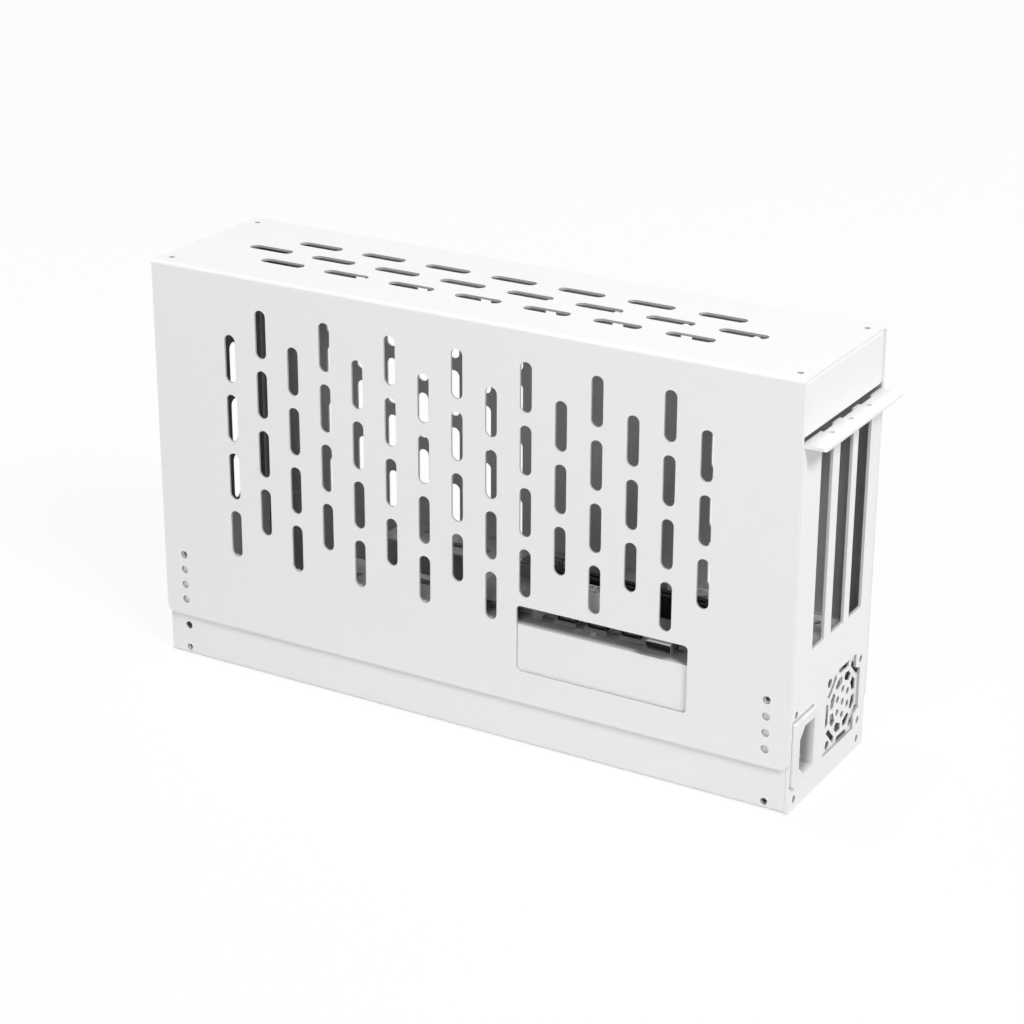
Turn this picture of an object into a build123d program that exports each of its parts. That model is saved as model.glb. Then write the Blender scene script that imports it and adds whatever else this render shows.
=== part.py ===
from build123d import *
import math
import os

# Sheet metal
sheet = 1.2                  # hood, tray, shelf and plates
wall_sheet = 1.5             # right end wall
bend = 1.8                   # outer radius of the folds
slide_gap = 0.3              # between the hood's panels and the base's walls
hood_length = 348.3
corner_round = 3.5           # lower corners of the hood's panels

# Vent slots
slot_width = 6.3
slot_length = 24.4
slot_columns = 15
slot_column_pitch = 18.4
slot_row_pitch = 30.6
slot_rows = 4
slot_top_margin = 28.0       # hood's top down to the centre of the highest slots
slot_margin = 4.0            # least metal between a slot and an edge or the window
top_slot_rows = 3
top_slot_row_pitch = 16.5
top_slot_shift = -5.1        # the top's pattern sits a little to the left

# Height setting of the hood
setting_count = 4
setting_pitch = 8.2
setting_hole = 4.0           # diameter of the holes in the hood
setting_end_inset = 11.7     # holes in from the hood's ends
setting_drop = 6.4           # base hole below the top of the tray's walls
setting_edge = 8.6           # hood's lower edge below its lowest holes
thread_hole = 2.5            # tapped hole for a small screw
screw_clearance = 0.1        # round a screw in a plain hole

# End plates of the hood
plate_inset = 0.5            # behind the hood's edge
plate_gap = 0.5              # beside the hood's panels
plate_ledge_gap = 2.85       # right plate above the bracket ledge
right_plate_height = 25.6
plate_flange = 12.0
plate_flange_relief = 3.0
plate_corner = 2.0
end_slot_columns = 3         # vent slots of the left plate, staggered like the others
end_slot_rows = 3
end_slot_pitch = 17.1        # between its columns
end_slot_margin = 71.8       # hood's top down to the centre of its highest slots
top_hole = 3.0
top_hole_inset = 6.3         # in from the hood's ends
top_hole_side = 8.3          # in from the front and rear panels

# Cable window
window_width = 90.0
window_height = 33.9
window_end_gap = 51.8        # in from the right end
window_above_board = 4.3
window_corner = 2.2

# Base
base_left_gap = 0.95         # left end of the tray inside the hood's left end
left_wall_gap = 1.3          # base's left wall behind the hood's left plate
lug_height = 9.0             # corner lugs that join the base's walls
lug_length = 16.0
tray_lug_width = 8.0         # upturned lugs of the tray behind the right end wall
joint_hole = 3.5             # screw holes through the base's walls into the lugs
joint_hole_height = 4.0
wall_joint_height = 5.0      # lower screw holes of the end wall
spare_hole_height = 16.3     # single hole in the front wall near its left end
wall_joint_side = 35.5       # from the middle

# Card bracket slots in the right end wall
bracket_pitch = 20.32
bracket_middle = -2.9        # near edge of the middle slot
bracket_widths = (12.9, 14.5, 14.5)
bracket_height = 104.65      # slots from their lower end to the ledge's top
ledge_above_board = 111.45
ledge_reach = 10.5
ledge_corner = 1.5
ledge_bend = 0.4             # tight fold between the wall and the ledge
ledge_notch = 0.3            # slots run past the wall's face into the ledge
ledge_slit_length = 2.0      # slit at the rear end of each slot, along the fold
ledge_slit_width = 0.8
ledge_hole = 3.0
ledge_hole_reach = 3.4
ledge_hole_shift = 1.4       # from the near edge of each slot

# Power supply
psu_length = 150.0
psu_width = 81.5
psu_side_gap = 0.75
psu_floor_gap = 8.8
psu_shelf_gap = 9.1
psu_sheet = 0.8
psu_screw_side = 36.9        # front mounting hole from the middle
psu_screw_rise = 17.3
psu_screw_hole = 3.5

# Fan and its grille
fan_size = 40.0
fan_depth = 20.0
fan_gap = 0.2                # frame inside the power supply's sheet
fan_side_gap = 0.55          # frame from the power supply's rear side
fan_hole_edge = 4.0          # corner holes from the frame's sides
fan_hole = 4.5               # corner holes of the frame and the case
fan_wall = 1.1               # frame wall at the middle of its sides
fan_tip_gap = 0.5
fan_hub_radius = 10.5
fan_hub_length = 14.0
fan_base = 3.0               # motor base and its struts
fan_blades = 7
fan_blade = 0.9
fan_shaft_radius = 1.0
fan_shaft_clearance = 0.05
grille_hole = 3.4
grille_hole_circle = 6.7
grille_inner = 10.3          # windows from here
grille_outer = 13.9          # to an octagon across its flats
grille_spoke = 2.6
grille_slot_near = 16.4      # octagon of slots round the windows
grille_slot_far = 19.2
grille_slot_bar = 3.2        # metal between the slots
grille_sides = 8
cutout_near = 24.15          # fan cut-out in the end wall, from the fan's axis to the front
cutout_far = 10.95
cutout_rise = 19.8
cutout_lift = 1.1            # its middle above the fan's axis
cutout_step = 5.15
cutout_step_rise = 10.5
cutout_step_slope = 2.0

# Mains inlet
inlet_width = 22.3
inlet_height = 32.6
inlet_side_gap = 0.2         # from the power supply's front side
inlet_screw_gap = 0.5        # metal between the wall's cut-out and the screw hole above it
inlet_proud = 2.2            # frame stands out of the end wall
inlet_frame_gap = 0.4        # end wall's cut-out round the frame
inlet_top_gap = 0.8
inlet_mouth_width = 15.6
inlet_mouth_height = 24.6
inlet_mouth_chamfer = 5.1
inlet_mouth_shift = 0.7
inlet_depth = 17.0
inlet_wall = 1.4
inlet_round = 1.0
pin_length = 12.5
pin_width = 4.0
pin_thick = 2.0
pin_pitch = 14.0
pin_earth_shift = 4.0
pin_tail = 5.0

# Shelf and dock board
shelf_length = 254.7
shelf_flange_gap = 0.5       # flanges end this far above the power supply
shelf_notch_length = 68.3    # notch that lets the leads come up
shelf_notch_width = 30.0
shelf_hole = 4.0
shelf_hole_ends = (17.2, 20.3)    # in from the shelf's left and right end
shelf_hole_side = 31.9
lead_slot_length = 31.0      # slots for ties on each side of the notch
lead_slot_width = 5.2
lead_slot_end = 42.5
lead_slot_gaps = (5.2, 7.3)  # in front of the notch and behind it
standoff_height = 4.6
board_thick = 1.6
board_length = 137.0
board_depth = 51.1
board_wall_gap = 35.6        # right edge of the board from the end wall
board_front_gap = 4.3        # front edge from the tray's wall
tab_length = 61.0            # the board's front tab
tab_front_gap = 0.4          # from the tray's wall
tab_port_gap = 1.4           # beside the link port
tab_corner = 2.5
tab_slot_width = 6.7         # open slots in the tab
tab_slot_depth = 5.0
tab_slot_places = (9.75, 44.35)
tab_slit_width = 4.7
tab_slit_depth = 7.0
tab_slit_place = 26.75
post_width = 5.0
post_inset = 5.0
post_screw = 2.9
post_head = 5.5
post_head_height = 1.7

# Card slot and its latch
card_slot_length = 89.0
card_slot_width = 7.5
card_slot_height = 11.25
card_slot_wall_gap = 44.3    # right end from the end wall
card_slot_front = 34.3       # centre line from the hood's front face
card_groove = 1.9
card_groove_depth = 8.4
card_groove_end = 1.9
card_key = 1.9
card_key_place = 12.6
latch_length = 9.0
latch_cheek = 1.2
latch_gap = 0.2
latch_pin = 1.8
latch_pin_clearance = 0.05
latch_pivot_rise = 3.2
latch_height = 11.2

# Sockets on the board
port_width = 13.6
port_height = 4.6
port_depth = 13.0
port_skin = 0.35
port_round = 1.4
port_wall_gap = 58.6         # right side from the end wall
port_sunk = 0.4              # lower side below the board's underside
port_proud = 0.4             # face in front of the hood's panel
port_fit = 0.25
port_lug = 1.1               # lugs that rest on the board on each side
socket_length = 18.6
socket_depth = 9.6
socket_height = 9.8
socket_wall_gap = 102.8
socket_slot_gap = 2.6        # behind it, to the card slot
socket_cells = 4
socket_cell = 3.4
socket_cell_pitch = 4.2
socket_cell_depth = 7.0
edge_socket_length = 9.8     # low sockets along the board's front tab
edge_socket_depth = 3.5
edge_socket_height = 3.0
edge_socket_wall = 0.6
edge_socket_inset = 0.2
edge_socket_places = (19.4, 35.5, 53.05)

# Parts on the board and inside the power supply
sink_size = 18.0
sink_base = 2.0
sink_height = 6.4
sink_fins = 6
sink_fin = 1.2
sink_side = 9.0              # from the board's left edge
sink_slot_gap = 0.45         # behind the line of the card slot
choke_size = 7.0
choke_height = 5.0
choke_places = ((42.0, 43.0), (53.0, 43.0), (76.0, 43.0))    # from the board's left and front edges
can_radius = 3.15
can_height = 8.0
can_places = ((33.0, 43.0), (104.0, 43.0), (112.0, 43.0), (120.0, 43.0))
psu_board_gap = 4.0          # circuit board above the power supply's floor
psu_board_margin = 6.0
psu_post_radius = 3.0
transformer_size = (30.0, 26.0, 25.0)
transformer_place = (52.0, 36.0)
psu_can_radius = 9.0
psu_can_height = 27.0
psu_can_places = ((96.0, 18.0), (96.0, 40.0))
psu_sink_size = (56.0, 3.0, 27.0)
psu_sink_places = ((18.0, 12.0), (18.0, 64.0))
lead_hole = 16.0             # outlet for the leads in the power supply's inner end
overshoot = 2.0              # cutting tools run this far past a face

# Places worked out from the sizes
wall_face = hood_length / 2
wall_back = wall_face - wall_sheet
tray_inner = psu_width / 2 + psu_side_gap
tray_outer = tray_inner + sheet
hood_inner = tray_outer + slide_gap
hood_outer = hood_inner + sheet
base_left = -wall_face + base_left_gap
left_wall = -wall_face + plate_inset + sheet + left_wall_gap
setting_x = wall_face - setting_end_inset

psu_height = fan_size + 2 * (psu_sheet + fan_gap)
psu_bend = psu_sheet + fan_gap
psu_bottom = sheet + psu_floor_gap
psu_top = psu_bottom + psu_height
psu_middle = psu_bottom + psu_height / 2
psu_left = wall_back - psu_length
fan_hole_pitch = fan_size - 2 * fan_hole_edge
fan_y = psu_width / 2 - psu_sheet - fan_side_gap - fan_size / 2
fan_right = wall_back - psu_sheet
fan_left = fan_right - fan_depth

shelf_top = psu_top + psu_shelf_gap + sheet
shelf_left = wall_back - shelf_length
board_bottom = shelf_top + standoff_height
board_top = board_bottom + board_thick
ledge_top = board_top + ledge_above_board
overall_height = ledge_top + plate_ledge_gap + right_plate_height + sheet
setting_height = shelf_top - setting_drop
hood_bottom = setting_height - (setting_count - 1) * setting_pitch - setting_edge
bracket_edges = [bracket_middle + step * bracket_pitch for step in (-1, 0, 1)]

window_right = wall_face - window_end_gap
window_left = window_right - window_width
window_top = board_top + window_above_board
window_bottom = window_top - window_height

inlet_top = psu_middle + psu_screw_rise - psu_screw_hole / 2 - inlet_screw_gap - inlet_top_gap
inlet_z = inlet_top - inlet_height / 2
inlet_left = -psu_width / 2 + inlet_side_gap
inlet_y = inlet_left + inlet_width / 2
inlet_face = wall_face + inlet_proud
inlet_floor = inlet_face - inlet_depth

board_right = wall_back - board_wall_gap
board_left = board_right - board_length
board_front = -tray_inner + board_front_gap
board_back = board_front + board_depth
card_right = wall_back - card_slot_wall_gap
card_left = card_right - card_slot_length
card_y = card_slot_front - hood_outer
latch_x = card_left - latch_length / 2
latch_z = board_top + latch_pivot_rise
port_right = wall_back - port_wall_gap
port_left = port_right - port_width
port_bottom = board_bottom - port_sunk
port_face = -hood_outer - port_proud
port_back = port_face + port_depth
tab_right = port_left - tab_port_gap
tab_left = tab_right - tab_length
tab_front = -tray_inner + tab_front_gap
post_places = [
    (board_left + post_inset + step * (board_length - 2 * post_inset) / 2, y)
    for step in range(3)
    for y in (board_front + post_inset, board_back - post_inset)
]


def block(x, y, z):
    """Box between a pair of limits along each axis."""
    limits = (x, y, z)
    size = [high - low for low, high in limits]
    middle = [(low + high) / 2 for low, high in limits]
    return Pos(*middle) * Box(*size)


def rod(axis, radius, start, end, place):
    """Cylinder along X, Y or Z from start to end; place gives its other two coordinates."""
    turn = {"x": Rot(0, 90, 0), "y": Rot(90, 0, 0), "z": Rot(0, 0, 0)}[axis]
    middle = (start + end) / 2
    first, second = place
    centre = {"x": (middle, first, second), "y": (first, middle, second), "z": (first, second, middle)}[axis]
    return Pos(*centre) * turn * Cylinder(radius, end - start)


def channel(half_width, z, x, thickness, radius, fold):
    """Sheet folded to a U across Y and drawn out along X; fold says whether its web is at the top."""
    low, high = z
    web = -1 if fold == "top" else 0
    side = 1 if fold == "top" else -1
    outer = Rectangle(2 * half_width, high - low)
    outer = fillet(outer.vertices().group_by(Axis.Y)[web], radius)
    inner = Rectangle(2 * (half_width - thickness), high - low)
    inner = fillet(inner.vertices().group_by(Axis.Y)[web], radius - thickness)
    profile = outer - Pos(0, -side * thickness) * inner
    start = Plane.YZ.offset(x[0]) * Pos(0, (low + high) / 2)
    return extrude(start * profile, x[1] - x[0])


def panel_slots(beside_window):
    """Centres of a panel's upright slots: alternate columns sit half a pitch lower."""
    window_x = (window_left + window_right) / 2
    reach = (window_width + slot_width) / 2 + slot_margin
    places = []
    for column in range(slot_columns):
        x = (column - (slot_columns - 1) / 2) * slot_column_pitch
        drop = slot_row_pitch / 2 if column % 2 == 0 else 0
        for row in range(slot_rows):
            z = overall_height - slot_top_margin - drop - row * slot_row_pitch
            low = z - slot_length / 2
            in_panel = abs(x) + slot_width / 2 + slot_margin < wall_face and low > hood_bottom + slot_margin
            by_window = beside_window and abs(x - window_x) < reach and low < window_top + slot_margin
            if in_panel and not by_window:
                places.append((x, z))
    return places


def top_slots():
    """Centres of the slots along the top, with the middle row staggered by half a pitch."""
    pitch = 2 * slot_column_pitch
    places = []
    for row in range(top_slot_rows):
        y = (row - (top_slot_rows - 1) / 2) * top_slot_row_pitch
        count = slot_columns // 2 + row % 2
        for step in range(count):
            x = top_slot_shift + (step - (count - 1) / 2) * pitch
            if abs(x) + slot_length / 2 + top_hole_inset + slot_margin < wall_face:
                places.append((x, y))
    return places


def hood():
    """Top, front and rear panel in one folded sheet, punched with slots, window and holes."""
    body = channel(hood_outer, (hood_bottom, overall_height), (-wall_face, wall_face), sheet, bend, "top")
    body = fillet(body.edges().filter_by(Axis.Y).group_by(Axis.Z)[0], corner_round)
    upright = SlotOverall(slot_length, slot_width, rotation=90)
    lying = SlotOverall(slot_length, slot_width)
    window = Pos((window_left + window_right) / 2, (window_bottom + window_top) / 2)
    front = [Pos(x, z) * upright for x, z in panel_slots(True)]
    front.append(window * RectangleRounded(window_width, window_height, window_corner))
    rear = [Pos(x, z) * upright for x, z in panel_slots(False)]
    lid = [Pos(x, y) * lying for x, y in top_slots()]
    lid += [
        Pos(end * (wall_face - top_hole_inset), side * (hood_outer - top_hole_side)) * Circle(top_hole / 2)
        for end in (-1, 1)
        for side in (-1, 1)
    ]
    depth = sheet + 2 * overshoot
    body -= extrude(Plane.XZ.offset(hood_inner - overshoot) * Sketch(front), depth)
    body -= extrude(Plane.XZ.offset(-hood_outer - overshoot) * Sketch(rear), depth)
    body -= extrude(Plane.XY.offset(overall_height - sheet - overshoot) * Sketch(lid), depth)
    for end in (-1, 1):
        for step in range(setting_count):
            place = (end * setting_x, setting_height - step * setting_pitch)
            body -= rod("y", setting_hole / 2, -hood_outer - overshoot, hood_outer + overshoot, place)
    return body


def end_plate(low, half):
    """Plate inside the hood's right end, half its width given, with a flange under the top for two screws."""
    face = wall_face - plate_inset
    top = overall_height - sheet
    outline = Polygon(
        (face, low),
        (face, top),
        (face - plate_flange, top),
        (face - plate_flange, top - sheet),
        (face - sheet, top - sheet),
        (face - sheet, low),
        align=None,
    )
    outside = outline.vertices().sort_by_distance((face, top, 0))[0]
    outline = fillet(outside, bend)
    inside = outline.vertices().sort_by_distance((face - sheet, top - sheet, 0))[0]
    outline = fillet(inside, bend - sheet)
    body = extrude(Plane.XZ.offset(-half) * outline, 2 * half)
    body = fillet(body.edges().filter_by(Axis.X).group_by(Axis.Z)[0], plate_corner)
    for side in (-1, 1):
        edge = sorted((side * (half - plate_flange_relief), side * (half + overshoot)))
        body -= block((face - plate_flange - overshoot, face - bend), edge, (top - bend, top + overshoot))
        place = (wall_face - top_hole_inset, side * (hood_outer - top_hole_side))
        body -= rod("z", thread_hole / 2, top - sheet - overshoot, top + overshoot, place)
    return body


def right_end_plate():
    return end_plate(ledge_top + plate_ledge_gap, hood_inner - plate_gap)


def left_end_plate():
    """Slotted plate of the left end, narrow enough to pass between the tray's walls."""
    plate = end_plate(hood_bottom + plate_gap, tray_inner - slide_gap)
    upright = SlotOverall(slot_length, slot_width, rotation=90)
    slots = []
    for column in range(end_slot_columns):
        y = (column - (end_slot_columns - 1) / 2) * end_slot_pitch
        for row in range(end_slot_rows - column % 2):
            z = overall_height - end_slot_margin - (row + column % 2 / 2) * slot_row_pitch
            slots.append(Pos(y, z) * upright)
    start = Plane.YZ.offset(wall_face - plate_inset - sheet - overshoot)
    plate -= extrude(start * Sketch(slots), sheet + 2 * overshoot)
    return mirror(plate, about=Plane.YZ)


def base_tray():
    """Bottom, front and rear wall of the base, with upturned lugs for the right end wall."""
    body = channel(tray_outer, (0, shelf_top), (base_left, wall_back), sheet, bend, "bottom")
    for side in (-1, 1):
        middle = side * wall_joint_side
        body += block(
            (wall_back - sheet, wall_back),
            (middle - tray_lug_width / 2, middle + tray_lug_width / 2),
            (sheet, lug_height),
        )
        limits = (wall_back - sheet - overshoot, wall_back + overshoot)
        body -= rod("x", thread_hole / 2, *limits, (middle, wall_joint_height))
    for end in (-1, 1):
        limits = (-tray_outer - overshoot, tray_outer + overshoot)
        body -= rod("y", thread_hole / 2, *limits, (end * setting_x, setting_height))
        body -= rod("y", joint_hole / 2, *limits, (end * setting_x, joint_hole_height))
    limits = (-tray_outer - overshoot, -tray_inner + overshoot)
    body -= rod("y", setting_hole / 2, *limits, (-setting_x, spare_hole_height))
    return body


def corner_lugs(x, thickness):
    """Pair of low lugs inside the tray's front and rear walls, each with a tapped hole."""
    lugs = []
    middle = math.copysign(setting_x, sum(x))
    for side in (-1, 1):
        y = sorted((side * tray_inner, side * (tray_inner - thickness)))
        lug = block(x, y, (bend, lug_height))
        lug -= rod("y", thread_hole / 2, y[0] - overshoot, y[1] + overshoot, (middle, joint_hole_height))
        lugs.append(lug)
    return lugs


def left_end_wall():
    """Low wall that closes the base's left end."""
    half = tray_inner - (bend - sheet)
    body = block((left_wall, left_wall + sheet), (-half, half), (sheet, shelf_top))
    for lug in corner_lugs((left_wall, left_wall + lug_length), sheet):
        body += lug
    return body


def fan_cutout():
    """Outline of the fan's cut-out in the end wall: a square with a shallow step at the rear."""
    step = cutout_far + cutout_step
    return Polygon(
        (-cutout_near, -cutout_rise),
        (cutout_far, -cutout_rise),
        (cutout_far, -cutout_step_rise - cutout_step_slope),
        (step, -cutout_step_rise),
        (step, cutout_step_rise),
        (cutout_far, cutout_step_rise + cutout_step_slope),
        (cutout_far, cutout_rise),
        (-cutout_near, cutout_rise),
        align=None,
    )


def right_end_wall():
    """Tall wall with the card bracket slots, folded outwards at its top into the bracket ledge."""
    reach = wall_face + ledge_reach
    outline = Polygon(
        (wall_back, 0),
        (wall_face, 0),
        (wall_face, ledge_top - wall_sheet),
        (reach, ledge_top - wall_sheet),
        (reach, ledge_top),
        (wall_back, ledge_top),
        align=None,
    )
    outline = fillet(outline.vertices().sort_by_distance((wall_back, ledge_top, 0))[0], ledge_bend)
    inner = outline.vertices().sort_by_distance((wall_face, ledge_top - wall_sheet, 0))[0]
    outline = fillet(inner, ledge_notch)
    body = extrude(Plane.XZ.offset(-tray_outer) * outline, 2 * tray_outer)
    body = fillet(body.edges().filter_by(Axis.Z).group_by(Axis.X)[-1], ledge_corner)
    for near, width in zip(bracket_edges, bracket_widths):
        x = (wall_back - overshoot, wall_face + ledge_notch)
        rear = near + width
        body -= block(x, (near, rear), (ledge_top - bracket_height, ledge_top + overshoot))
        slit = (x[1] - ledge_slit_width, x[1])
        z = (ledge_top - 2 * wall_sheet, ledge_top + overshoot)
        body -= block(slit, (rear, rear + ledge_slit_length), z)
        place = (wall_face + ledge_hole_reach, near + ledge_hole_shift)
        body -= rod("z", ledge_hole / 2, ledge_top - wall_sheet - overshoot, ledge_top + overshoot, place)
    holes = [(fan_y + fan_hole_pitch / 2, psu_middle + side * fan_hole_pitch / 2) for side in (-1, 1)]
    holes.append((-psu_screw_side, psu_middle + psu_screw_rise))
    limits = (wall_back - overshoot, wall_face + overshoot)
    for place in holes:
        body -= rod("x", psu_screw_hole / 2, *limits, place)
    for side in (-1, 1):
        body -= rod("x", joint_hole / 2, *limits, (side * wall_joint_side, wall_joint_height))
    start = Plane.YZ.offset(limits[0])
    body -= extrude(start * Pos(fan_y, psu_middle + cutout_lift) * fan_cutout(), limits[1] - limits[0])
    body -= block(
        limits,
        (inlet_left - inlet_frame_gap, inlet_left + inlet_width + inlet_frame_gap),
        (inlet_top - inlet_height - inlet_frame_gap, inlet_top + inlet_top_gap),
    )
    for lug in corner_lugs((wall_back - lug_length, wall_back), wall_sheet):
        body += lug
    return body


def shelf():
    """Folded shelf over the power supply, with a notch for the leads and slots for their ties."""
    z = (psu_top + shelf_flange_gap, shelf_top)
    body = channel(tray_inner, z, (shelf_left, wall_back), sheet, bend, "top")
    z = (shelf_top - sheet - overshoot, shelf_top + overshoot)
    notch = (shelf_left - overshoot, shelf_left + shelf_notch_length)
    half = shelf_notch_width / 2
    body -= block(notch, (-half, half), z)
    middle = shelf_left + lead_slot_end
    x = (middle - lead_slot_length / 2, middle + lead_slot_length / 2)
    for side, gap in zip((-1, 1), lead_slot_gaps):
        y = sorted((side * (half + gap), side * (half + gap + lead_slot_width)))
        body -= block(x, y, z)
    for x in (shelf_left + shelf_hole_ends[0], wall_back - shelf_hole_ends[1]):
        for side in (-1, 1):
            body -= rod("z", shelf_hole / 2, *z, (x, side * shelf_hole_side))
    limits = (-tray_inner - overshoot, tray_inner + overshoot)
    body -= rod("y", thread_hole / 2, *limits, (setting_x, setting_height))
    return body


def fan_grille():
    """Openings of the punched grille: hole cluster, ring of eight windows and an octagon of slots."""
    openings = [Circle(grille_hole / 2)]
    for step in range(6):
        openings.append(Rot(0, 0, 30 + 60 * step) * Pos(grille_hole_circle, 0) * Circle(grille_hole / 2))
    turn = 360 / grille_sides
    half = math.radians(turn / 2)
    slope = math.tan(half)
    edge = grille_spoke / 2
    near = grille_inner * slope - edge / math.cos(half)
    shoulder = (
        grille_outer * math.cos(half) + edge * math.sin(half),
        grille_outer * math.sin(half) - edge * math.cos(half),
    )
    pane = Polygon(
        (grille_inner, -near),
        (shoulder[0], -shoulder[1]),
        (grille_outer / math.cos(half), 0),
        shoulder,
        (grille_inner, near),
        align=None,
    )
    bar = grille_slot_bar / 2 / math.cos(half)
    ends = [reach * slope - bar for reach in (grille_slot_near, grille_slot_far)]
    slot = Polygon(
        (grille_slot_near, -ends[0]),
        (grille_slot_far, -ends[1]),
        (grille_slot_far, ends[1]),
        (grille_slot_near, ends[0]),
        align=None,
    )
    for step in range(grille_sides):
        openings.append(Rot(0, 0, turn * (step + 0.5)) * pane)
        openings.append(Rot(0, 0, turn * step) * slot)
    return openings


def psu_case():
    """Power supply's floor and two end faces, folded from one sheet."""
    half = psu_width / 2 - psu_sheet
    top = psu_top - psu_sheet
    outer = Rectangle(psu_length, top - psu_bottom)
    outer = fillet(outer.vertices().group_by(Axis.Y)[0], psu_bend)
    inner = Pos(0, psu_sheet) * Rectangle(psu_length - 2 * psu_sheet, top - psu_bottom)
    inner = fillet(inner.vertices().group_by(Axis.Y)[0], psu_bend - psu_sheet)
    middle = Pos((psu_left + wall_back) / 2, (psu_bottom + top) / 2)
    body = extrude(Plane.XZ.offset(-half) * middle * (outer - inner), 2 * half)
    body = fillet(body.edges().filter_by(Axis.X).group_by(Axis.Z)[-1], psu_bend)
    face = Plane.YZ.offset(fan_right - overshoot)
    depth = psu_sheet + 2 * overshoot
    body -= extrude(face * Pos(fan_y, psu_middle) * Sketch(fan_grille()), depth)
    limits = (fan_right - overshoot, wall_back + overshoot)
    for place in fan_hole_places():
        body -= rod("x", fan_hole / 2, *limits, place)
    body -= rod("x", thread_hole / 2, *limits, (-psu_screw_side, psu_middle + psu_screw_rise))
    body -= extrude(face * Pos(inlet_y, inlet_z) * inlet_outline(inlet_wall + inlet_frame_gap), depth)
    body -= rod("x", lead_hole / 2, psu_left - overshoot, psu_left + psu_sheet + overshoot, (0, psu_middle))
    return body


def psu_lid():
    return channel(psu_width / 2, (psu_bottom, psu_top), (psu_left, wall_back), psu_sheet, psu_bend, "top")


def fan_hole_places():
    """Corner holes of the fan."""
    half = fan_hole_pitch / 2
    return [(fan_y + side * half, psu_middle + rise * half) for side in (-1, 1) for rise in (-1, 1)]


def fan_frame():
    """Square fan housing with a round duct, and a motor base on four struts at its inner end."""
    duct = fan_size / 2 - fan_wall
    frame = Rot(0, 90, 0) * Box(fan_size, fan_size, fan_depth)
    frame = fillet(frame.edges().filter_by(Axis.X), (fan_size - fan_hole_pitch) / 2)
    frame = Pos((fan_left + fan_right) / 2, fan_y, psu_middle) * frame
    axis = (fan_y, psu_middle)
    limits = (fan_left - overshoot, fan_right + overshoot)
    frame -= rod("x", duct, *limits, axis)
    for place in fan_hole_places():
        frame -= rod("x", fan_hole / 2, *limits, place)
    strut = Box(fan_base, fan_base, 2 * (duct + fan_wall / 2))
    for turn in (45, 135):
        frame += Pos(fan_left + fan_base / 2, *axis) * Rot(turn, 0, 0) * strut
    frame += rod("x", fan_hub_radius, fan_left, fan_left + fan_base, axis)
    limits = (fan_left - overshoot, fan_left + fan_base + overshoot)
    return frame - rod("x", fan_shaft_radius + fan_shaft_clearance, *limits, axis)


def fan_blade_solid():
    """One twisted blade about the X axis, lofted from its root in the hub to its tip."""
    tip = fan_size / 2 - fan_wall - fan_tip_gap
    root = fan_hub_radius * 0.8
    chord = fan_hub_length * 0.8
    sections = []
    for radius, width, twist in ((root, chord, 52), (tip + fan_tip_gap, chord * 1.25, 34)):
        plane = Plane(origin=(0, 0, radius), x_dir=(1, 0, 0), z_dir=(0, 0, 1))
        sections.append(plane * Rot(0, 0, twist) * Rectangle(width, fan_blade))
    return loft(sections)


def fan_rotor():
    """Hub with its blades and the shaft that turns in the motor base."""
    start = fan_left + fan_base + fan_tip_gap
    hub = Rot(0, 90, 0) * Cylinder(fan_hub_radius, fan_hub_length)
    hub = fillet(hub.edges().group_by(Axis.X)[-1], fan_hub_radius / 8)
    blade = fan_blade_solid()
    for step in range(fan_blades):
        hub += Rot(360 / fan_blades * step, 0, 0) * blade
    hub &= Rot(0, 90, 0) * Cylinder(fan_size / 2 - fan_wall - fan_tip_gap, fan_hub_length)
    rotor = Pos(start + fan_hub_length / 2, fan_y, psu_middle) * hub
    return rotor + rod("x", fan_shaft_radius, fan_left, start + fan_blade, (fan_y, psu_middle))


def inlet_outline(margin):
    """Mouth of the mains inlet with two corners cut, grown by a margin."""
    half_width = inlet_mouth_width / 2 + margin
    half_height = inlet_mouth_height / 2 + margin
    mouth = Rectangle(2 * half_width, 2 * half_height)
    cut = mouth.vertices().group_by(Axis.X)[0]
    return Pos(inlet_mouth_shift, 0) * chamfer(cut, inlet_mouth_chamfer)


def inlet_body():
    """Moulded mains inlet: a raised frame, and a shroud that reaches into the power supply."""
    middle = Pos(inlet_y, inlet_z)
    frame = RectangleRounded(inlet_width, inlet_height, inlet_round)
    back = inlet_floor - inlet_wall
    body = extrude(Plane.YZ.offset(wall_back) * middle * frame, inlet_face - wall_back)
    body += extrude(Plane.YZ.offset(back) * middle * inlet_outline(inlet_wall), wall_back - back)
    body -= extrude(Plane.YZ.offset(inlet_floor) * middle * inlet_outline(0), inlet_depth + overshoot)
    for pin in pin_blocks():
        body -= pin
    return body


def pin_blocks():
    """Three flat pins: two on the rear side and the earth pin on the side of the cut corners."""
    middle = inlet_y + inlet_mouth_shift
    places = [(middle + pin_earth_shift / 2, side * pin_pitch / 2) for side in (-1, 1)]
    places.append((middle - pin_earth_shift / 2, 0))
    x = (inlet_floor - inlet_wall - pin_tail, inlet_floor + pin_length)
    half = (pin_width / 2, pin_thick / 2)
    return [
        block(x, (y - half[0], y + half[0]), (inlet_z + rise - half[1], inlet_z + rise + half[1]))
        for y, rise in places
    ]


def inlet_pins():
    return Compound(pin_blocks())


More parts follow.
